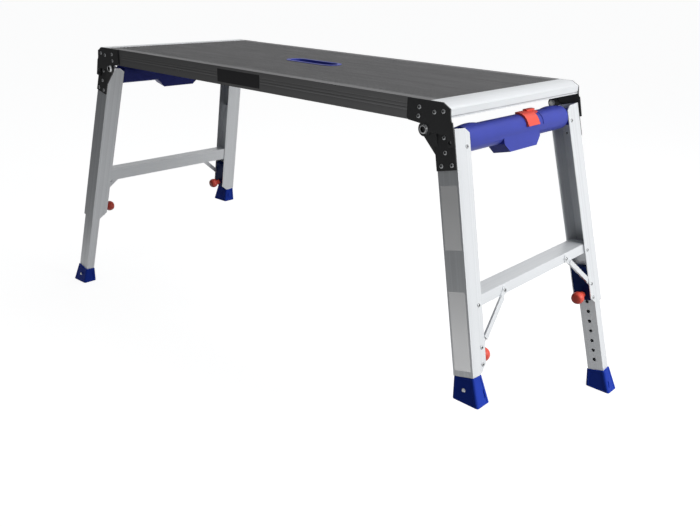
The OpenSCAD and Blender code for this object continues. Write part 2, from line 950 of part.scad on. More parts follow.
// The trigger: a saddle over the housing with a thumb rest, and a hub on the axle
module trigger(end) {
    r0 = bar_r + run_gap;
    half = trigger_l / 2;
    color(red)
        frame_place(end)
            translate([bar_x, trigger_y, bar_z])
                rotate([90, 0, 0])
                    difference() {
                        union() {
                            linear_extrude(trigger_l, center = true)
                                sector(r0, r0 + trigger_t, -4, 87);
                            // the wing on top, the raised lip behind the thumb and the low front lip
                            translate([0, 0, -half - wing_l])
                                linear_extrude(wing_l + eps)
                                    sector(r0, r0 + trigger_t, 52, 87);
                            translate([0, 0, -half - wing_l])
                                linear_extrude(trigger_l + wing_l - lip_in)
                                    sector(r0 + trigger_t - eps, r0 + trigger_t + 3, 68, 87);
                            linear_extrude(trigger_l, center = true)
                                sector(r0 + trigger_t - eps, r0 + trigger_t + 1.2, -4, 4);
                            linear_extrude(10, center = true)
                                sector(0, r0 + eps, 52, 72);
                            cylinder(r = 7, h = 10, center = true);
                        }
                        cylinder(r = bolt_r + pin_gap, h = 12, center = true);
                    }
}

// A ring sector between two radii and two angles less than 140 degrees apart
module sector(r0, r1, a0, a1) {
    intersection() {
        difference() {
            circle(r = r1);
            if (r0 > 0)
                circle(r = r0);
        }
        polygon([[0, 0], 3 * r1 * [cos(a0), sin(a0)], 3 * r1 * [cos(a1), sin(a1)]]);
    }
}

module latch_bolt(end, side) {
    tip = lobe_y + plate_t - 0.1;
    color(steel_bright)
        frame_place(end)
            on_side(side)
                translate([latch_x, -tip, latch_z])
                    rotate([-90, 0, 0])
                        union() {
                            cylinder(r = bolt_r, h = tip - bolt_inner);
                            translate([0, 0, tip - bolt_inner - 4])
                                cylinder(r = bolt_r + 0.6, h = 4);
                        }
}

// Navy blocks at the stiles' lower ends that guide the legs and carry the knobs
module guide_blocks(end) {
    x0 = stile_wall + run_gap - stile_w;
    color(navy)
        frame_place(end)
            for (side = [FRONT, BACK])
                difference() {
                    in_stile(side)
                        difference() {
                            block(
                                [x0, inner_y, -stile_low + guide_low],
                                [-inset_x, inner_y + guide_d, -stile_low + guide_low + guide_h]
                            );
                            translate([-stile_w / 2, inner_y - 1, -knob_s])
                                rotate([-90, 0, 0]) {
                                    cylinder(r = pin_r + pin_gap, h = guide_d + 2);
                                    translate([0, 0, guide_d + 1 - neck_stroke])
                                        cylinder(r = neck_r + run_gap, h = neck_stroke + 1);
                                }
                        }
                    flange_rivet_holes([2, 3]);
                }
}

module frame_rivets(end) {
    color(steel_bright)
        frame_place(end) {
            for (side = [FRONT, BACK])
                in_stile(side) {
                    for (p = leg_rivet_places())
                        translate([p[0], -plate_t, -p[1]])
                            rotate([90, 0, 0])
                                rivet(plate_t + stile_wall);
                    for (p = flange_rivet_places())
                        translate([-flange_step, p[0], -p[1]])
                            rotate([0, 90, 0])
                                rivet(inset_x + 4);
                }
            for (y = [-strut_y, strut_y])
                translate([strut_flat_t - inset_x, y, -strut_s()])
                    rotate([0, 90, 0])
                        rivet(strut_flat_t + rung_wall);
        }
}

// Bare stickers on one stile's web
module stickers() {
    color(sticker_grey)
        stile_place(NEAR, FRONT)
            for (s = [
                [leg_plate_low + stile_w * 0.609, leg_plate_low + stile_w * 3.261],
                [stile_low - stile_w * 3.652, stile_low - stile_w * 0.261]
            ])
                block([-stile_w * 0.913, -sticker_t, -s[1]], [-stile_w * 0.087, 0, -s[0]]);
}

// How far a leg stands out at rest
function out_at_rest(side) = side == BACK ? rest_out : 0;

module leg_place(end, side) {
    stile_place(end, side)
        translate([0, 0, -out_at_rest(side)])
            children();
}

module leg(end, side) {
    x0 = -(stile_w + leg_w) / 2;
    color(aluminium)
        leg_place(end, side)
            difference() {
                block([x0, leg_in_y, -leg_foot_s], [x0 + leg_w, leg_face_y, -leg_top]);
                block(
                    [x0 + leg_wall, leg_in_y + leg_wall, -leg_foot_s - 1],
                    [x0 + leg_w - leg_wall, leg_face_y - leg_wall, -leg_top + 1]
                );
                for (i = [0:hole_count - 1])
                    translate([-stile_w / 2, leg_face_y - leg_wall - 1, -knob_s + i * hole_pitch])
                        rotate([-90, 0, 0])
                            cylinder(r = hole_r, h = leg_wall + 2);
                translate([-stile_w / 2, leg_in_y - 1, -screw_s])
                    rotate([-90, 0, 0])
                        cylinder(r = rivet_hole_r, h = leg_wall + 2);
            }
}

// A boot: it flares to a level sole and holds the leg's end in a socket
module boot(end, side) {
    x0 = -(stile_w + leg_w) / 2;
    fall = leg_cos * out_at_rest(side);
    long = boot_draw;
    grow = long / 50;
    color(blue)
        difference() {
            leg_place(end, side)
                hull() {
                    block(
                        [-stile_w - 0.5, -0.5, -stile_low - boot_gap - 1],
                        [0.5, boot_top_d, -stile_low - boot_gap]
                    );
                    block(
                        [-stile_w - boot_back * grow, -boot_side * grow, -stile_low - long],
                        [
                            boot_flare * grow,
                            boot_top_d + (sole_w - boot_side - boot_top_d) * grow,
                            1 - stile_low - long
                        ]
                    );
                }
            // everything below the sole
            lift()
                translate([-deck_l, -deck_l, -sole_depth - fall - 2 * long])
                    cube([2 * deck_l, 2 * deck_l, 2 * long]);
            leg_place(end, side) {
                block([x0, leg_in_y, -leg_foot_s], [x0 + leg_w, leg_face_y, -stile_low + 1]);
                translate([-stile_w / 2, -30, -screw_s])
                    rotate([-90, 0, 0])
                        cylinder(r = rivet_hole_r, h = 40);
            }
        }
}

// How far the boot's outer side stands off the web where the screw's head bears on it
function screw_seat() = let (
        run = screw_s + rivet_head_r - stile_low - boot_gap,
        slope = (boot_side * boot_draw / 50 - 0.5) / (boot_draw - boot_gap - 1)
    ) 0.5 + run * slope + 0.02;

module boot_screw(end, side) {
    color(steel_bright)
        leg_place(end, side)
            translate([-stile_w / 2, -screw_seat(), -screw_s])
                rotate([90, 0, 0])
                    difference() {
                        rivet(screw_seat() + leg_in_y + leg_wall);
                        block([-4, -0.5, rivet_head_h - 0.6], [4, 0.5, rivet_head_h + 1]);
                    }
}

// A red knob, its axis along y, pulled towards the deck's middle
module knob(end, side) {
    face = inner_y + guide_d;
    start = face - 0.5;
    color(red)
        stile_place(end, side)
            translate([-stile_w / 2, start, -knob_s])
                rotate([-90, 0, 0])
                    difference() {
                        union() {
                            cylinder(r = neck_r, h = knob_out - start);
                            translate([0, 0, knob_out - start])
                                rotate_extrude()
                                    knob_profile();
                        }
                        translate([0, 0, -1])
                            cylinder(r = pin_r, h = knob_out - start + 5);
                    }
}

module knob_profile() {
    h = knob_r * 0.72;
    intersection() {
        translate([0, 0])
            circle(r = knob_r);
        translate([0, -h])
            square([knob_r + 1, 2 * h]);
    }
}

module locking_pin(end, side) {
    tip = leg_face_y + pin_tip_gap;
    color(steel_bright)
        stile_place(end, side)
            translate([-stile_w / 2, tip, -knob_s])
                rotate([-90, 0, 0])
                    cylinder(r = pin_r, h = knob_out + 4 - tip);
}

deck_planks();
side_rail(FRONT);  // side_rail_front
side_rail(BACK);  // side_rail_back
end_rail(NEAR);  // end_rail_near
end_rail(FAR);  // end_rail_far
cross_members();
carry_grip();
rail_plate();
rail_bracket(NEAR, FRONT);  // rail_bracket_near_front
rail_bracket(NEAR, BACK);  // rail_bracket_near_back
rail_bracket(FAR, BACK);  // rail_bracket_far_front
rail_bracket(FAR, FRONT);  // rail_bracket_far_back
rail_rivets();
pivot_bolts();
pivot_nuts();
stile(NEAR, FRONT);  // near_stile_front
stile(NEAR, BACK);  // near_stile_back
leg_bracket(NEAR, FRONT);  // near_bracket_front
leg_bracket(NEAR, BACK);  // near_bracket_back
rung(NEAR);  // near_rung
struts(NEAR);  // near_struts
latch_housing(NEAR);  // near_latch_housing
guide_blocks(NEAR);  // near_guide_blocks
frame_rivets(NEAR);  // near_rivets
stickers();  // near_stickers
trigger(NEAR);  // near_trigger
latch_bolt(NEAR, FRONT);  // near_latch_bolt_front
latch_bolt(NEAR, BACK);  // near_latch_bolt_back
stile(FAR, BACK);  // far_stile_front
stile(FAR, FRONT);  // far_stile_back
leg_bracket(FAR, BACK);  // far_bracket_front
leg_bracket(FAR, FRONT);  // far_bracket_back
rung(FAR);  // far_rung
struts(FAR);  // far_struts
latch_housing(FAR);  // far_latch_housing
guide_blocks(FAR);  // far_guide_blocks
frame_rivets(FAR);  // far_rivets
trigger(FAR);  // far_trigger
latch_bolt(FAR, BACK);  // far_latch_bolt_front
latch_bolt(FAR, FRONT);  // far_latch_bolt_back
leg(NEAR, FRONT);  // leg_near_front
leg(NEAR, BACK);  // leg_near_back
leg(FAR, BACK);  // leg_far_front
leg(FAR, FRONT);  // leg_far_back
boot(NEAR, FRONT);  // boot_near_front
boot(NEAR, BACK);  // boot_near_back
boot(FAR, BACK);  // boot_far_front
boot(FAR, FRONT);  // boot_far_back
boot_screw(NEAR, FRONT);  // boot_screw_near_front
boot_screw(NEAR, BACK);  // boot_screw_near_back
boot_screw(FAR, BACK);  // boot_screw_far_front
boot_screw(FAR, FRONT);  // boot_screw_far_back
knob(NEAR, FRONT);  // knob_near_front
knob(NEAR, BACK);  // knob_near_back
knob(FAR, BACK);  // knob_far_front
knob(FAR, FRONT);  // knob_far_back
locking_pin(NEAR, FRONT);  // pin_near_front
locking_pin(NEAR, BACK);  // pin_near_back
locking_pin(FAR, BACK);  // pin_far_front
locking_pin(FAR, FRONT);  // pin_far_back
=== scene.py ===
# %% [markdown]
# # A folding work platform with adjustable legs
# The real object is a ribbed aluminium deck on two folding leg frames. Each leg slides in its
# stile and is held by a red pull knob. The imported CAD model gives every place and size, so this
# lesson only gives the pieces rounded edges, small details, finishes and light.

# %% Load the frame
import json
import math

import bmesh
import bpy
import numpy as np
from mathutils import Matrix, Vector


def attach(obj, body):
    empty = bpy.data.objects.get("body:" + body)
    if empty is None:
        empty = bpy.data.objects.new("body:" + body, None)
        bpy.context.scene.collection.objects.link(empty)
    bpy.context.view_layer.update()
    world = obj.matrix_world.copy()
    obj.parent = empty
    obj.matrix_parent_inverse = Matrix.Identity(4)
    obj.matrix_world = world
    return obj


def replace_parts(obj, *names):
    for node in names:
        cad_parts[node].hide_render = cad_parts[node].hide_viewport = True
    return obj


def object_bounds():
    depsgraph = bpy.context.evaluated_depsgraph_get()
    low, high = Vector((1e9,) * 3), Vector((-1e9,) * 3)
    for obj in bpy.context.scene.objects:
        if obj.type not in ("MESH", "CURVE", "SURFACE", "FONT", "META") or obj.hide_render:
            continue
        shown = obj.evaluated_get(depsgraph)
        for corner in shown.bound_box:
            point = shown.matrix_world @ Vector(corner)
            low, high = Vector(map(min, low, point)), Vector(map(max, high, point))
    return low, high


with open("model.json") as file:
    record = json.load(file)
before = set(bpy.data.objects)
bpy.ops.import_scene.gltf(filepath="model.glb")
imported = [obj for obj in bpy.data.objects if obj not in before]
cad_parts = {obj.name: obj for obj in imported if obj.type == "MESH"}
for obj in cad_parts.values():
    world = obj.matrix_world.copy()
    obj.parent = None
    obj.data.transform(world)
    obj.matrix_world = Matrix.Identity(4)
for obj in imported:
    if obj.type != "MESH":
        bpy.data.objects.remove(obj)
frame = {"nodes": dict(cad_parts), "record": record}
cad_low, cad_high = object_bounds()
nodes = frame["nodes"]
body_of = {n: b for b, names in frame["record"]["behaviour"]["bodies"].items() for n in names}
print("nodes", len(nodes), "size", [round(v, 3) for v in (cad_high - cad_low)])

# %% [markdown]
# ## The camera
# A camera is a place, a direction and a focal length. These were fitted to corners of the deck,
# stiles and feet in the photograph, so each piece of the render falls where the photograph has it.

# %% Camera
azimuth, elevation, roll = math.radians(41.878), math.radians(21.058), math.radians(-1.761)
camera_place = (1.3949, -1.3958, 0.9532)
focal_pixels, picture_pixels, sensor_width = 765.27, 700, 36
forward = Vector((-math.sin(azimuth) * math.cos(elevation),
                  math.cos(azimuth) * math.cos(elevation), -math.sin(elevation)))
right = forward.cross(Vector((0, 0, 1))).normalized()
down = forward.cross(right)
right, down = (right * math.cos(roll) + down * math.sin(roll),
               down * math.cos(roll) - right * math.sin(roll))
camera = bpy.data.objects.new("camera", bpy.data.cameras.new("camera"))
camera.data.sensor_width = sensor_width
camera.data.lens = focal_pixels / picture_pixels * sensor_width
camera.matrix_world = Matrix.Translation(camera_place) @ Matrix(
    (right, -down, -forward)).transposed().to_4x4()
bpy.context.collection.objects.link(camera)
bpy.context.scene.camera = camera
bpy.context.scene.view_settings.view_transform = "Standard"
print("lens", round(camera.data.lens, 2), "mm")

# %% [markdown]
# ## The room
# Bright metal shows what stands around it. The photograph has a white sheet below and behind the
# platform, one large light beyond its near end, and a dim room in front. A Light Path node lets
# the camera and the reflections see that white sheet, while the plain light on the pieces stays
# at its own level. For reflections alone the sheet turns dim where it lies in front.

# %% Node helpers for the room


def value_range(tree, value, from_range, to_range):
    """Maps a value smoothly from one range to another."""
    node = tree.nodes.new("ShaderNodeMapRange")
    node.interpolation_type = "SMOOTHSTEP"
    node.inputs["From Min"].default_value, node.inputs["From Max"].default_value = from_range
    node.inputs["To Min"].default_value, node.inputs["To Max"].default_value = to_range
    tree.links.new(value, node.inputs["Value"])
    return node.outputs["Result"]


def along(tree, socket, axis):
    """How far a vector reaches along an axis."""
    dot = tree.nodes.new("ShaderNodeVectorMath")
    dot.operation = "DOT_PRODUCT"
    dot.inputs[1].default_value = axis
    tree.links.new(socket, dot.inputs[0])
    return dot.outputs["Value"]


def seen_rays(tree):
    """1 for the camera's rays and for rays by way of gloss or glass, 0 for plain light."""
    path = tree.nodes.new("ShaderNodeLightPath")
    either = path.outputs["Is Camera Ray"]
    for kind in ("Is Glossy Ray", "Is Transmission Ray"):
        larger = tree.nodes.new("ShaderNodeMath")
        larger.operation = "MAXIMUM"
        tree.links.new(either, larger.inputs[0])
        tree.links.new(path.outputs[kind], larger.inputs[1])
        either = larger.outputs[0]
    return either


def bright_for_camera(tree, value, level):
    """The value, raised to level for the camera's own rays."""
    raised, larger = tree.nodes.new("ShaderNodeMath"), tree.nodes.new("ShaderNodeMath")
    raised.operation, larger.operation = "MULTIPLY", "MAXIMUM"
    raised.inputs[1].default_value = level
    tree.links.new(tree.nodes.new("ShaderNodeLightPath").outputs["Is Camera Ray"], raised.inputs[0])
    tree.links.new(raised.outputs[0], larger.inputs[0])
    tree.links.new(value, larger.inputs[1])
    return larger.outputs[0]


# %% Floor
floor_reach = 60
sheet_edge = (-1.25, -0.84)
sheet_glow, sheet_grey, dim_grey, plain_grey = 0.90, 0.32, 0.03, 0.10
dim_reach, dim_glow = (-4.5, 0.3), (0.12, 0.42)
floor_mesh = bpy.data.meshes.new("floor")
floor_mesh.from_pydata([(x * floor_reach, y * floor_reach, 0)
                        for x, y in ((-1, -1), (1, -1), (1, 1), (-1, 1))], [], [(0, 1, 2, 3)])
floor = bpy.data.objects.new("floor", floor_mesh)
bpy.context.collection.objects.link(floor)
paper = bpy.data.materials.new("pale_floor")
paper.use_nodes = True
tree = paper.node_tree
tree.nodes.clear()
place = tree.nodes.new("ShaderNodeTexCoord").outputs["Object"]
# metres behind the picture's lower edge, measured on the floor
depth = along(tree, place, (0.418, 0.908, 0))
glow, lit, plain = (tree.nodes.new("ShaderNodeEmission"), tree.nodes.new("ShaderNodeBsdfDiffuse"),
                    tree.nodes.new("ShaderNodeBsdfDiffuse"))
# the dim part is a little brighter towards the lamp
dim = value_range(tree, along(tree, place, (0.908, -0.418, 0)), dim_reach, dim_glow)
edge = tree.nodes.new("ShaderNodeMapRange")
edge.interpolation_type = "SMOOTHSTEP"
edge.inputs["From Min"].default_value, edge.inputs["From Max"].default_value = sheet_edge
edge.inputs["To Max"].default_value = sheet_glow
tree.links.new(depth, edge.inputs["Value"])
tree.links.new(bright_for_camera(tree, dim, sheet_glow), edge.inputs["To Min"])
tree.links.new(edge.outputs["Result"], glow.inputs["Strength"])
grey = tree.nodes.new("ShaderNodeCombineColor")
shade = value_range(tree, depth, sheet_edge, (dim_grey, sheet_grey))
shade = bright_for_camera(tree, shade, sheet_grey)
for channel in grey.inputs:
    tree.links.new(shade, channel)
tree.links.new(grey.outputs["Color"], lit.inputs["Color"])
plain.inputs["Color"].default_value = (plain_grey,) * 3 + (1,)
both, which = tree.nodes.new("ShaderNodeAddShader"), tree.nodes.new("ShaderNodeMixShader")
tree.links.new(glow.outputs[0], both.inputs[0])
tree.links.new(lit.outputs[0], both.inputs[1])
tree.links.new(seen_rays(tree), which.inputs[0])
tree.links.new(plain.outputs[0], which.inputs[1])
tree.links.new(both.outputs[0], which.inputs[2])
tree.links.new(which.outputs[0], tree.nodes.new("ShaderNodeOutputMaterial").inputs["Surface"])
floor_mesh.materials.append(paper)
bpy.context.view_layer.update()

# %% World
world = bpy.data.worlds.new("pale_room")
bpy.context.scene.world = world
world.use_nodes = True
tree = world.node_tree
tree.nodes.clear()
direction = tree.nodes.new("ShaderNodeTexCoord").outputs["Generated"]
behind = along(tree, direction, (0.35, 0.85, 0.39))
lampwards = along(tree, direction, (0.80, 0.30, 0.52))
sheet, sky = tree.nodes.new("ShaderNodeBackground"), tree.nodes.new("ShaderNodeBackground")
sheet_level = value_range(tree, behind, (-0.55, 0.15), (0.08, 0.80))
tree.links.new(bright_for_camera(tree, sheet_level, 1.0), sheet.inputs["Strength"])
sheet.inputs["Color"].default_value = (1, 1, 1, 1)
sky.inputs["Color"].default_value = (0.94, 0.97, 1.0, 1)
tree.links.new(value_range(tree, lampwards, (-0.6, 0.8), (0.07, 0.30)), sky.inputs["Strength"])
which = tree.nodes.new("ShaderNodeMixShader")
tree.links.new(seen_rays(tree), which.inputs[0])
tree.links.new(sky.outputs[0], which.inputs[1])
tree.links.new(sheet.outputs[0], which.inputs[2])
tree.links.new(which.outputs[0], tree.nodes.new("ShaderNodeOutputWorld").inputs["Surface"])
print("world nodes", len(tree.nodes))

# %% Lamps


def lamp(name, place, target, size, power, tint=(1, 1, 1)):
    """An area lamp at place that faces target."""
    data = bpy.data.lights.new(name, "AREA")
    data.shape, data.size, data.energy, data.color = "SQUARE", size, power, tint
    made = bpy.data.objects.new(name, data)
    made.location = place
    made.rotation_euler = (Vector(target) - Vector(place)).to_track_quat("-Z", "Y").to_euler()
    bpy.context.collection.objects.link(made)
    return made


lamp("key_right", (2.3, 0.35, 1.15), (0.3, 0, 0.45), 1.1, 28)
lamp("top", (0.7, 0.9, 2.6), (0.1, 0, 0.6), 1.8, 20)

# %% [markdown]
# ## Finishes
# Every finish is a small graph of nodes on one shader. Object coordinates are metres in the
# platform's own frame, so a pattern stays on its piece at its true size. Extruded aluminium has
# fine die lines along its length, made by stretching a noise texture in that direction.

# %% Finish helpers
materials = {}


def finish(name, colour, rough, metal=0.0, specular=0.5):
    """A material with one Principled shader. Returns (material, nodes, links, shader)."""
    material = bpy.data.materials.new(name)
    material.use_nodes = True
    tree = material.node_tree
    shader = tree.nodes["Principled BSDF"]
    shader.inputs["Base Color"].default_value = (*colour, 1)
    shader.inputs["Roughness"].default_value = rough
    shader.inputs["Metallic"].default_value = metal
    shader.inputs["Specular IOR Level"].default_value = specular
    materials[name] = material
    return material, tree.nodes, tree.links, shader


def pattern(nodes_, links_, size, turn=(0, 0, 0), detail=3.0, scale=1.0):
    """Noise whose features measure size metres along the axes turned by turn."""
    place = nodes_.new("ShaderNodeTexCoord")
    mapping = nodes_.new("ShaderNodeMapping")
    mapping.vector_type = "TEXTURE"
    mapping.inputs["Scale"].default_value = size
    mapping.inputs["Rotation"].default_value = turn
    noise = nodes_.new("ShaderNodeTexNoise")
    noise.inputs["Scale"].default_value = scale
    noise.inputs["Detail"].default_value = detail
    links_.new(place.outputs["Object"], mapping.inputs["Vector"])
    links_.new(mapping.outputs["Vector"], noise.inputs["Vector"])
    return noise.outputs["Fac"]


def spread(nodes_, links_, value, low, high, clip=(0.3, 0.7)):
    """Maps a 0..1 pattern between clip to low..high."""
    node = nodes_.new("ShaderNodeMapRange")
    node.inputs["From Min"].default_value, node.inputs["From Max"].default_value = clip
    node.inputs["To Min"].default_value, node.inputs["To Max"].default_value = low, high
    links_.new(value, node.inputs["Value"])
    return node.outputs["Result"]


def two_colours(nodes_, links_, value, first, second):
    """Mixes two colours by a value."""
    node = nodes_.new("ShaderNodeMix")
    node.data_type = "RGBA"
    node.inputs[6].default_value = (*first, 1)
    node.inputs[7].default_value = (*second, 1)
    links_.new(value, node.inputs[0])
    return node.outputs[2]


def relief(nodes_, links_, shader, value, height):
    """Bumps the surface by height metres."""
    bump = nodes_.new("ShaderNodeBump")
    bump.inputs["Distance"].default_value = height
    bump.inputs["Strength"].default_value = 1.0
    links_.new(value, bump.inputs["Height"])
    links_.new(bump.outputs["Normal"], shader.inputs["Normal"])


# %% Extruded aluminium
lean, splay = math.radians(13.65), math.radians(4.25)
# how the long axis Z of a pattern is turned onto each leg
leg_turns = {}
for corner, (sx, sy) in {"near_front": (1, -1), "near_back": (1, 1),
                         "far_front": (-1, -1), "far_back": (-1, 1)}.items():
    axis = Vector((-sx * math.sin(lean) * math.cos(splay), -sy * math.sin(splay),
                   math.cos(lean) * math.cos(splay)))
    leg_turns[corner] = tuple(axis.to_track_quat("Z", "Y").to_euler())
along_x, along_y = (0, math.pi / 2, 0), (math.pi / 2, 0, 0)


def extrusion(name, turn, colour, rough, metal, drift=0.07, lines=0.0005, height=0.000008):
    """Extruded metal with straight die lines, a slow change across them and uneven gloss."""
    material, n, l, shader = finish(name, colour, rough, metal)
    die = pattern(n, l, (lines, lines, 6.0), turn, 1.0)
    band = pattern(n, l, (0.007, 0.007, 12.0), turn, 1.0)
    smudge = pattern(n, l, (0.03, 0.03, 0.12), turn, 3.0)
    both = n.new("ShaderNodeMath")
    both.operation = "MULTIPLY_ADD"
    both.inputs[1].default_value = 0.6
    l.new(die, both.inputs[0])
    part = n.new("ShaderNodeMath")
    part.operation = "MULTIPLY"
    part.inputs[1].default_value = 0.4
    l.new(band, part.inputs[0])
    l.new(part.outputs[0], both.inputs[2])
    darker = tuple(c * (1 - drift) for c in colour)
    lighter = tuple(min(1, c * (1 + drift)) for c in colour)
    l.new(two_colours(n, l, spread(n, l, both.outputs[0], 0, 1, (0.38, 0.62)), darker, lighter),
          shader.inputs["Base Color"])
    l.new(spread(n, l, smudge, rough - 0.03, rough + 0.05), shader.inputs["Roughness"])
    relief(n, l, shader, die, height)
    return material


bright_metal = (0.78, 0.80, 0.82)
extrusion("aluminium_along_x", along_x, bright_metal, 0.32, 0.22)
extrusion("aluminium_along_y", along_y, bright_metal, 0.32, 0.22, 0.04)
for corner, turn in leg_turns.items():
    extrusion("aluminium_" + corner, turn, bright_metal, 0.32, 0.22)
extrusion("deck_grey", along_x, (0.100, 0.100, 0.104), 0.46, 0.25, 0.14, 0.0011, 0.00003)
extrusion("rail_grey", along_x, (0.19, 0.19, 0.193), 0.30, 0.80, 0.10)
print("aluminium finishes", len(materials))

# %% Paint, plastic and steel


def grained(name, colour, rough, grain, height, metal=0.0, specular=0.5, shift=0.12):
    """Moulded or powder coated surface: fine grain, slow colour drift and uneven gloss."""
    material, n, l, shader = finish(name, colour, rough, metal, specular)
    fine = pattern(n, l, (grain,) * 3, detail=2.0)
    slow = pattern(n, l, (0.06,) * 3, detail=3.0)
    darker = tuple(c * (1 - shift) for c in colour)
    lighter = tuple(min(1, c * (1 + shift)) for c in colour)
    l.new(two_colours(n, l, spread(n, l, slow, 0, 1), darker, lighter), shader.inputs["Base Color"])
    l.new(spread(n, l, slow, rough - 0.05, rough + 0.07), shader.inputs["Roughness"])
    relief(n, l, shader, fine, height)
    return material


grained("black_powder_coat", (0.027, 0.028, 0.030), 0.45, 0.0009, 0.00004)
grained("blue_plastic", (0.062, 0.080, 0.42), 0.40, 0.0006, 0.00001, specular=0.1, shift=0.06)
grained("navy_plastic", (0.004, 0.020, 0.12), 0.40, 0.0006, 0.00001, specular=0.08)
grained("blue_rubber", (0.018, 0.055, 0.46), 0.46, 0.0010, 0.00002, specular=0.08, shift=0.08)
grained("red_plastic", (0.86, 0.10, 0.065), 0.36, 0.0006, 0.00001, specular=0.35, shift=0.04)
grained("dark_steel", (0.20, 0.205, 0.21), 0.32, 0.0005, 0.00001, metal=0.8, shift=0.08)
grained("zinc_steel", (0.52, 0.53, 0.55), 0.34, 0.0005, 0.00001, metal=0.7, shift=0.08)
grained("blank_sticker", (0.72, 0.725, 0.73), 0.36, 0.0012, 0.000005, metal=0.65, shift=0.03)
grained("blank_dark_plate", (0.004, 0.004, 0.007), 0.40, 0.0012, 0.000005, shift=0.10)


def hollowed(name, colour, dark, rough, metal):
    """Steel with painted shade in its sunk middle, which the mesh marks with a point attribute."""
    material, n, l, shader = finish(name, colour, rough, metal)
    mark = n.new("ShaderNodeAttribute")
    mark.attribute_name = "hollow"
    stain = pattern(n, l, (0.0015,) * 3, detail=2.0)
    l.new(two_colours(n, l, mark.outputs["Fac"], colour, dark), shader.inputs["Base Color"])
    l.new(spread(n, l, stain, rough - 0.05, rough + 0.08), shader.inputs["Roughness"])
    relief(n, l, shader, stain, 0.00001)
    return material


# the second colours are painted shade in the sunk middles of the rivet and bolt heads
hollowed("rivet_zinc", (0.42, 0.43, 0.44), (0.04, 0.04, 0.042), 0.34, 0.6)
hollowed("bolt_steel", (0.62, 0.63, 0.64), (0.03, 0.03, 0.032), 0.22, 0.7)
print("finishes", sorted(materials))


# %% [markdown]
# ## Rounded edges
# No sawn or moulded edge is perfectly sharp, and a rounded edge catches a thin line of light. A
# copy of each CAD mesh is merged, its flat faces are joined, and a Bevel modifier rounds it.

# %% Rounding helper
merge_gap = 2e-6


def corner_of(node):
    """The leg corner that a node's name ends or begins with."""
    for corner in leg_turns:
        if node.endswith(corner):
            return corner
    end, side = node.split("_")[0], node.split("_")[-1]
    return end + "_" + side


def soften(mesh, degrees=32):
    """Smooth shading that stays sharp at real edges."""
    mesh.shade_smooth()
    mesh.set_sharp_from_angle(angle=math.radians(degrees))


def merged_copy(node):
    """A bmesh of a CAD node with its loose triangles joined into flat faces."""
    bm = bmesh.new()
    bm.from_mesh(nodes[node].data)
    bmesh.ops.remove_doubles(bm, verts=bm.verts, dist=merge_gap)
    bmesh.ops.dissolve_limit(bm, angle_limit=math.radians(0.6), verts=bm.verts, edges=bm.edges)
    return bm


def new_piece(name, mesh, material, node):
    """Links a finished mesh, gives it its finish and lets it ride on the node's body."""
    mesh.materials.clear()
    mesh.materials.append(materials[material])
    piece = bpy.data.objects.new(name, mesh)
    bpy.context.collection.objects.link(piece)
    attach(piece, body_of[node])
    return piece


def modified(mesh, add_modifiers):
    """The plain mesh that modifiers make of a mesh."""
    work = bpy.data.objects.new("work", mesh)
    bpy.context.collection.objects.link(work)
    add_modifiers(work)
    done = bpy.data.meshes.new_from_object(work.evaluated_get(bpy.context.evaluated_depsgraph_get()))
    bpy.data.objects.remove(work)
    return done


def level_faces(work):
    """Lets the large flat faces keep their own shading beside the narrow rounded edges."""
    flat = work.modifiers.new("level", "WEIGHTED_NORMAL")
    flat.keep_sharp = True
    flat.weight = 100


def rounded(node, material, width, segments=2, degrees=32, flat_over=None):
    """Replaces a CAD node by a copy with rounded edges. Faces over flat_over stay quite flat."""
    mesh = bpy.data.meshes.new(node + "_rounded")
    bm = merged_copy(node)
    bm.to_mesh(mesh)
    bm.free()

    def bevel_edges(work):
        bevel = work.modifiers.new("edges", "BEVEL")
        bevel.width, bevel.segments, bevel.limit_method = width, segments, "ANGLE"
        bevel.angle_limit = math.radians(degrees)

    done = modified(mesh, bevel_edges)
    soften(done, degrees)
    if flat_over is None:
        done = modified(done, level_faces)
    else:
        for face in done.polygons:
            face.use_smooth = face.area < flat_over
    piece = new_piece(node + "_rounded", done, material, node)
    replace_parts(piece, node)
    return piece


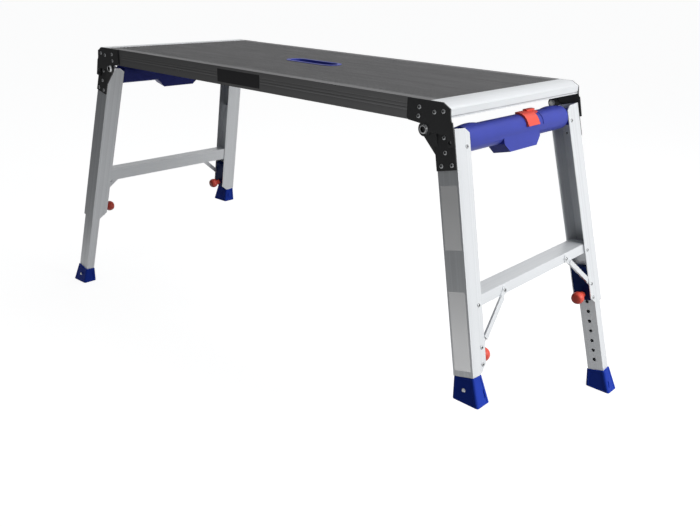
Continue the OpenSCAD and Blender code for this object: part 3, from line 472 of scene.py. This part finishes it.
# %% Round the extrusions and plates
plate_area = 2e-5
rail_shoulder = 0.009
groove_low, groove_high, groove_depth = 0.0024, 0.0048, 0.0019
for node in nodes:
    if "stile" in node:
        rounded(node, "aluminium_" + corner_of(node), 0.0009)
    elif node.startswith("leg_"):
        rounded(node, "aluminium_" + corner_of(node), 0.0008)
    elif "end_rail" in node:
        rail = rounded(node, "aluminium_along_y", 0.0008, 2)
        # the groove along its foot gets the darker zinc finish as painted shade in the recess
        rail.data.materials.append(materials["zinc_steel"])
        corners = [v.co for v in nodes[node].data.vertices]
        outer, foot = max(abs(c.x) for c in corners), min(c.z for c in corners)
        for face in rail.data.polygons:
            above, sunk = face.center.z - foot, outer - abs(face.center.x)
            if groove_low < above < groove_high and 0.0003 < sunk < groove_depth:
                face.material_index = 1
    elif "rung" in node:
        rounded(node, "aluminium_along_y", 0.0012)
    elif "struts" in node:
        rounded(node, "aluminium_along_y", 0.0006)
    elif node == "cross_members":
        rounded(node, "aluminium_along_y", 0.0006)
    elif "side_rail" in node:
        rail = rounded(node, "rail_grey", 0.0003)
        # its top and rounded shoulder go on from the deck and have the deck's finish
        rail.data.materials.append(materials["deck_grey"])
        for face in rail.data.polygons:
            if face.normal.z > 0.15 and face.center.z > cad_high.z - rail_shoulder:
                face.material_index = 1
    elif node == "deck_planks":
        rounded(node, "deck_grey", 0.0003, 1)
    elif "bracket" in node:
        rounded(node, "black_powder_coat", 0.0006, flat_over=plate_area)
    elif "latch_housing" in node:
        rounded(node, "blue_plastic", 0.0010, 3)
    elif "guide_blocks" in node:
        rounded(node, "navy_plastic", 0.0012)
    elif "trigger" in node:
        rounded(node, "red_plastic", 0.0011, 3)
    elif node == "carry_grip":
        rounded(node, "blue_plastic", 0.0005, 2)
    elif node == "near_stickers":
        rounded(node, "blank_sticker", 0.00008, 1)
    elif node == "rail_plate":
        rounded(node, "blank_dark_plate", 0.0002, 1)
    elif "latch_bolt" in node:
        rounded(node, "dark_steel", 0.0003, 1)
    elif node.startswith("pin_") or node == "pivot_nuts":
        rounded(node, "zinc_steel", 0.0003, 1)

# %% [markdown]
# ## Boots
# Each leg ends in a blue plastic boot that flares to a level sole. It is moulded, so its upright
# corners are well rounded and its sides have shallow panels. The CAD boot's outer corners give a
# plain block. Its upright corners are bevelled widely and its rims narrowly, then each flat side is
# inset twice, the second time pushed in. A small slot is cut with a Boolean modifier.

# %% Boot helpers


def outer_block(node):
    """A bmesh of the flat sided block around a node, from the node's own corners."""
    bm = bmesh.new()
    for v in nodes[node].data.vertices:
        bm.verts.new(v.co)
    bmesh.ops.remove_doubles(bm, verts=bm.verts, dist=merge_gap)
    hull = bmesh.ops.convex_hull(bm, input=bm.verts)
    loose = {g for key in ("geom_interior", "geom_unused") for g in hull[key]
             if isinstance(g, bmesh.types.BMVert)}
    bmesh.ops.delete(bm, geom=list(loose), context="VERTS")
    bmesh.ops.dissolve_limit(bm, angle_limit=math.radians(1.5), verts=bm.verts, edges=bm.edges)
    bmesh.ops.recalc_face_normals(bm, faces=bm.faces)
    return bm


def round_block(bm, upright, corner_width, rim_width):
    """Rounds the block's upright corners widely and its rims narrowly."""
    bmesh.ops.bevel(bm, geom=upright, offset=corner_width, segments=5, profile=0.5,
                    affect="EDGES", clamp_overlap=False)
    rims = [e for e in bm.edges if e.calc_face_angle(0) > math.radians(50)]
    bmesh.ops.bevel(bm, geom=rims, offset=rim_width, segments=2, profile=0.5,
                    affect="EDGES", clamp_overlap=True)


def flat_sides(bm, area):
    """The block's flat upright faces that are larger than area."""
    return [f for f in bm.faces if abs(f.normal.z) < 0.6 and f.calc_area() > area]


print("boot faces", len(outer_block("boot_near_front").faces))

# %% The slot in a boot's side


def slot_cutter(centre, facing, upward, width, height, depth):
    """A mesh of an upright slot with round ends, sunk depth into a face."""
    across = upward.cross(facing)
    bm = bmesh.new()
    steps = 8
    outline = []
    for end in (1, -1):
        for i in range(steps + 1):
            turn = math.pi * i / steps
            outline.append((end * math.cos(turn) * width / 2,
                            end * ((height - width) / 2 + math.sin(turn) * width / 2)))
    low = [bm.verts.new(centre - facing * depth + across * u + upward * v) for u, v in outline]
    high = [bm.verts.new(centre + facing * 0.004 + across * u + upward * v) for u, v in outline]
    bm.faces.new(low)
    bm.faces.new(high)
    for i in range(len(low)):
        j = (i + 1) % len(low)
        bm.faces.new((low[i], low[j], high[j], high[i]))
    bmesh.ops.recalc_face_normals(bm, faces=bm.faces)
    mesh = bpy.data.meshes.new("slot")
    bm.to_mesh(mesh)
    bm.free()
    return mesh


def cut_out(mesh, cutter_mesh):
    """The mesh with the cutter's space taken out of it."""
    cutter = bpy.data.objects.new("cutter", cutter_mesh)
    bpy.context.collection.objects.link(cutter)

    def add(work):
        cut = work.modifiers.new("slot", "BOOLEAN")
        cut.operation, cut.solver, cut.object = "DIFFERENCE", "EXACT", cutter

    done = modified(mesh, add)
    bpy.data.objects.remove(cutter)
    return done


# %% Boots
corner_round, rim_round = 0.0050, 0.0012
panel_inset, panel_slope, panel_depth = 0.0022, 0.0008, 0.0009
slot_width, slot_height, slot_depth = 0.0046, 0.017, 0.0016
slot_rise, slot_inset = 0.021, 0.0105
whole_side, trimmed_side = 8e-4, 3e-4
for node in [n for n in nodes if n.startswith("boot_") and "screw" not in n]:
    bm = outer_block(node)
    sides = flat_sides(bm, whole_side)
    inward = 1 if node.endswith("front") else -1
    cutters = []
    for f in sides:
        if abs(f.normal.x) > 0.6:
            low = sorted(f.verts, key=lambda v: v.co.z)[:2]
            high = sorted(f.verts, key=lambda v: v.co.z)[2:]
            foot = max(low, key=lambda v: v.co.y * inward).co
            top = max(high, key=lambda v: v.co.y * inward).co
            upward = (top - foot).normalized()
            spot = foot + upward * slot_rise - Vector((0, inward * slot_inset, 0))
            spot -= f.normal * ((spot - f.calc_center_median()).dot(f.normal) + panel_depth)
            cutters.append(slot_cutter(spot, f.normal.copy(), upward,
                                       slot_width, slot_height, slot_depth))
    upright = [e for e in bm.edges if all(f in sides for f in e.link_faces)]
    corners = len(upright)
    round_block(bm, upright, corner_round, rim_round)
    sides = flat_sides(bm, trimmed_side)
    for width, depth in ((panel_inset, 0), (panel_slope, -panel_depth)):
        bmesh.ops.inset_individual(bm, faces=sides, thickness=width, depth=depth,
                                   use_even_offset=True)
    mesh = bpy.data.meshes.new(node + "_moulded")
    bm.to_mesh(mesh)
    bm.free()
    done = mesh
    for cutter_mesh in cutters:
        done = cut_out(done, cutter_mesh)
    soften(done, 32)
    piece = new_piece(node + "_moulded", modified(done, level_faces), "blue_rubber", node)
    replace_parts(piece, node)
    print(node, len(sides), "sides", corners, "corners", len(cutters), "slots")

# %% [markdown]
# ## Marks on the latch housing
# The pocket under each latch housing has a faint raised field and a short rib on its front, left
# by the mould. They are thin plates with rounded edges, set on the flat front that is found in the
# CAD mesh as its largest face towards the outside.

# %% Marks on the housing


def outer_front(node):
    """The largest flat face of a housing that looks outwards: (corners, facing)."""
    bm = merged_copy(node)
    end = 1 if node.startswith("near") else -1
    facing = Vector((end * math.cos(lean), 0, math.sin(lean)))
    flat = [f for f in bm.faces if f.normal.dot(facing) > 0.9995]
    widest = max(flat, key=lambda f: f.calc_area())
    corners, facing = [v.co.copy() for v in widest.verts], widest.normal.copy()
    bm.free()
    return corners, facing


def thin_plate(bm, middle, across, upward, facing, width, height, thick):
    """Adds a thin plate with slanted rims that stands on a face."""
    rings = []
    for grow, out in ((0.0, -0.0006), (0.0, thick * 0.4), (-thick, thick)):
        rings.append([bm.verts.new(middle + across * (u * (width / 2 + grow)) + facing * out
                                   + upward * (v * (height / 2 + grow)))
                      for u, v in ((-1, -1), (1, -1), (1, 1), (-1, 1))])
    for low, high in zip(rings, rings[1:]):
        for i in range(4):
            j = (i + 1) % 4
            bm.faces.new((low[i], low[j], high[j], high[i]))
    bm.faces.new(rings[0])
    bm.faces.new(rings[-1])


# width, height and thickness of the raised field and of the rib, and where they lie
field_size, field_drop, field_side = (0.056, 0.012, 0.0005), 0.012, 0.040
rib_size, rib_drop, rib_side, rib_slant = (0.0022, 0.012, 0.0007), 0.027, 0.024, 0.5
for end in ("near", "far"):
    node = end + "_latch_housing"
    corners, facing = outer_front(node)
    across = Vector((0, 1, 0))
    upward = facing.cross(across)
    upward *= math.copysign(1, upward.z)
    flip = 1 if end == "near" else -1
    middle = sum(corners, Vector()) / len(corners)
    high = max(corners, key=lambda c: c.dot(upward)).dot(upward) - middle.dot(upward)
    wide = max(abs(c.y - middle.y) for c in corners)
    bm = bmesh.new()
    thin_plate(bm, middle + upward * (high - field_drop) - across * flip * (wide - field_side),
               across, upward, facing, *field_size)
    thin_plate(bm, middle + upward * (high - rib_drop) - across * flip * (wide - rib_side),
               (across - upward * flip * rib_slant).normalized(),
               (upward + across * flip * rib_slant).normalized(), facing, *rib_size)
    bmesh.ops.recalc_face_normals(bm, faces=bm.faces)
    mesh = bpy.data.meshes.new(end + "_housing_marks")
    bm.to_mesh(mesh)
    bm.free()
    new_piece(end + "_housing_marks", mesh, "blue_plastic", node)
    print(node, "front", [round(v, 3) for v in middle], "half width", round(wide, 3),
          "rise", round(high, 3))

# %% [markdown]
# ## Rivets
# The plates are held by blind rivets with a domed head and a small sunk middle, painted dark as shade.
# One head is turned on a lathe in code, and Geometry Nodes set a copy on each place that the CAD rivets
# mark.

# %% Find where the CAD rivets stand


def solids_of(node):
    """The separate solids of a node, as lists of vertices."""
    bm = bmesh.new()
    bm.from_mesh(nodes[node].data)
    bmesh.ops.remove_doubles(bm, verts=bm.verts, dist=merge_gap)
    seen, found = set(), []
    for start in bm.verts:
        if start in seen:
            continue
        seen.add(start)
        stack, group = [start], []
        while stack:
            v = stack.pop()
            group.append(v.co.copy())
            for e in v.link_edges:
                o = e.other_vert(v)
                if o not in seen:
                    seen.add(o)
                    stack.append(o)
        found.append(group)
    bm.free()
    return found


def head_of(points):
    """(centre of the head's base, direction out of the head, radius) of a rivet solid."""
    middle = sum(points, Vector()) / len(points)
    # about the true axis, all points lie on a few circles
    cloud = np.array([tuple(p) for p in points])
    cloud_mid = cloud.mean(0)
    _, vectors = np.linalg.eigh(np.cov((cloud - cloud_mid).T))
    best_axis, fewest = None, None
    for i in range(3):
        axis = vectors[:, i]
        along = (cloud - cloud_mid) @ axis
        side = cloud - cloud_mid - np.outer(along, axis)
        rim = np.sqrt((side ** 2).sum(1))
        rings = len(set(np.round(rim, 5)))
        if fewest is None or rings < fewest:
            best_axis, fewest = axis, rings
    axis = Vector(best_axis)
    along = [(p - middle).dot(axis) for p in points]
    rim = [(p - middle - axis * s).length for p, s in zip(points, along)]
    widest = max(rim)
    base = [s for s, r in zip(along, rim) if r > widest * 0.98]
    seat = sum(base) / len(base)
    if seat < (max(along) + min(along)) / 2:
        axis, seat = -axis, -seat
    return middle + axis * seat, axis, widest


print("rail rivets", len(solids_of("rail_rivets")))

# %% The lathe and the tree that sets copies


def turned(name, profile, steps=20):
    """A shape turned about Z from (radius, height) pairs, closed at both ends on the axis."""
    bm = bmesh.new()
    rings = []
    for r, z in profile:
        if r < 1e-7:
            rings.append([bm.verts.new((0, 0, z))])
        else:
            rings.append([bm.verts.new((r * math.cos(a), r * math.sin(a), z))
                          for a in (2 * math.pi * i / steps for i in range(steps))])
    for low, high in zip(rings, rings[1:]):
        for i in range(steps):
            j = (i + 1) % steps
            if len(low) == 1:
                bm.faces.new((low[0], high[j], high[i]))
            elif len(high) == 1:
                bm.faces.new((low[i], low[j], high[0]))
            else:
                bm.faces.new((low[i], low[j], high[j], high[i]))
    bmesh.ops.recalc_face_normals(bm, faces=bm.faces)
    mesh = bpy.data.meshes.new(name)
    bm.to_mesh(mesh)
    bm.free()
    soften(mesh, 50)
    return mesh


def copies_tree(shape, material):
    """A tree that sets one shape on each point, turned to the point's facing, scaled by Size."""
    tree = bpy.data.node_groups.new("set_copies", "GeometryNodeTree")
    tree.interface.new_socket("Geometry", in_out="INPUT", socket_type="NodeSocketGeometry")
    size = tree.interface.new_socket("Size", in_out="INPUT", socket_type="NodeSocketFloat")
    size.default_value = 1.0
    tree.interface.new_socket("Geometry", in_out="OUTPUT", socket_type="NodeSocketGeometry")
    n, l = tree.nodes, tree.links
    start, end = n.new("NodeGroupInput"), n.new("NodeGroupOutput")
    source = n.new("GeometryNodeObjectInfo")
    source.inputs["Object"].default_value = shape
    facing = n.new("GeometryNodeInputNamedAttribute")
    facing.data_type = "FLOAT_VECTOR"
    facing.inputs["Name"].default_value = "facing"
    turn = n.new("FunctionNodeAlignRotationToVector")
    turn.axis = "Z"
    put = n.new("GeometryNodeInstanceOnPoints")
    real = n.new("GeometryNodeRealizeInstances")
    paint = n.new("GeometryNodeSetMaterial")
    paint.inputs["Material"].default_value = material
    l.new(facing.outputs["Attribute"], turn.inputs["Vector"])
    l.new(start.outputs["Geometry"], put.inputs["Points"])
    l.new(source.outputs["Geometry"], put.inputs["Instance"])
    l.new(turn.outputs["Rotation"], put.inputs["Rotation"])
    l.new(start.outputs["Size"], put.inputs["Scale"])
    l.new(put.outputs["Instances"], real.inputs["Geometry"])
    l.new(real.outputs["Geometry"], paint.inputs["Geometry"])
    l.new(paint.outputs["Geometry"], end.inputs["Geometry"])
    return tree, size.identifier


def set_copies(name, mesh, places, material, node, size=1.0):
    """Sets copies of mesh on places, a list of (point, direction), as one finished piece."""
    shape = bpy.data.objects.new("shape", mesh)
    bpy.context.collection.objects.link(shape)
    seeds = bpy.data.meshes.new("seeds")
    seeds.from_pydata([tuple(p) for p, _ in places], [], [])
    facing = seeds.attributes.new("facing", "FLOAT_VECTOR", "POINT")
    for i, (_, direction) in enumerate(places):
        facing.data[i].vector = direction
    work = bpy.data.objects.new("work", seeds)
    bpy.context.collection.objects.link(work)
    tree, size_id = copies_tree(shape, materials[material])
    modifier = work.modifiers.new("copies", "NODES")
    modifier.node_group = tree
    modifier[size_id] = size
    done = bpy.data.meshes.new_from_object(work.evaluated_get(bpy.context.evaluated_depsgraph_get()))
    bpy.data.objects.remove(work)
    bpy.data.objects.remove(shape)
    soften(done, 50)
    return new_piece(name, done, material, node)


# %% Domed heads
r, h = 0.0044, 0.0019
head_sunk = 0.0004
head = turned("head", [(0, -head_sunk), (r, -head_sunk), (r, h * 0.22), (r * 0.86, h * 0.62),
                       (r * 0.64, h * 0.95), (r * 0.50, h), (r * 0.43, h * 0.80),
                       (r * 0.36, h * 0.30), (0, h * 0.20)])
# the sunk middle of the head is marked for painted shade
hollow = head.attributes.new("hollow", "FLOAT", "POINT")
for vertex, mark in zip(head.vertices, hollow.data):
    mark.value = 1.0 if vertex.co.z > 0 and vertex.co.xy.length < r * 0.44 else 0.0
for node in ("rail_rivets", "near_rivets", "far_rivets"):
    places = [head_of(s)[:2] for s in solids_of(node)]
    piece = set_copies(node + "_domed", head, places, "rivet_zinc", node)
    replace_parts(piece, node)
    print(node, len(places), "heads")

# %% Pivot bolts
pin_radius, pin_length = 0.0045, 0.016
rim = pin_radius * 2.1
bolt = turned("bolt", [(0, -pin_length), (pin_radius, -pin_length), (pin_radius, 0), (rim, 0),
                       (rim, 0.0012),
                       (rim * 0.90, 0.0026), (rim * 0.84, 0.0046), (rim * 0.74, 0.0050),
                       (rim * 0.62, 0.0047), (rim * 0.56, 0.0034), (rim * 0.54, 0.0010),
                       (rim * 0.30, 0.0008), (0, 0.0008)], 28)
# the sunk middle of the bolt head is marked for painted shade
hollow = bolt.attributes.new("hollow", "FLOAT", "POINT")
for vertex, mark in zip(bolt.vertices, hollow.data):
    mark.value = 1.0 if vertex.co.z > 0.0005 and vertex.co.xy.length < rim * 0.60 else 0.0
seat = 0.00075
places = [(spot - facing * seat, facing) for spot, facing in
          (head_of(s)[:2] for s in solids_of("pivot_bolts"))]
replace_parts(set_copies("pivot_bolts_turned", bolt, places, "bolt_steel", "pivot_bolts"), "pivot_bolts")
print("pivot bolts", len(places))

# %% Boot screws
for node in [n for n in nodes if n.startswith("boot_screw")]:
    rounded(node, "zinc_steel", 0.0003, 2)

# %% [markdown]
# ## Knobs
# Each red knob is a ball on a neck, turned on a lathe. It replaces the plain CAD ball and keeps its
# place: the neck's end and the ball's centre come from the CAD node's own points.

# %% Turn the knobs


def knob_axis(node):
    """(start point, unit axis towards the ball, length) of a knob."""
    corner = node[len("knob_"):]
    sx = 1 if corner.startswith("near") else -1
    sy = -1 if corner.endswith("front") else 1
    inward = Vector((sx * math.sin(splay) * math.sin(lean), -sy * math.cos(splay),
                     -math.sin(splay) * math.cos(lean)))
    points = [v.co for v in nodes[node].data.vertices]
    along = [p.dot(inward) for p in points]
    low = [p for p, s in zip(points, along) if s < min(along) + 0.0005]
    foot = sum(low, Vector()) / len(low)
    return foot, inward, max(along) - min(along)


ball, neck = 0.015, 0.0080
knobs = [n for n in nodes if n.startswith("knob_")]
for node in knobs:
    foot, inward, length = knob_axis(node)
    middle = length - ball * 0.72
    profile = [(0, 0), (neck - 0.0008, 0), (neck, 0.0008), (neck, middle - 0.0135),
               (neck + 0.0006, middle - 0.0118)]
    profile += [(ball * math.cos(math.radians(a)), middle + ball * math.sin(math.radians(a)))
                for a in range(-42, 43, 12)]
    profile += [(0.0098, length - 0.0006), (0.0088, length), (0, length + 0.0002)]
    mesh = turned(node + "_turned", profile, 32)
    mesh.transform(Matrix.Translation(foot) @ inward.to_track_quat("Z", "Y").to_matrix().to_4x4())
    piece = new_piece(node + "_turned", mesh, "red_plastic", node)
    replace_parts(piece, node)
print("knobs", len(knobs))
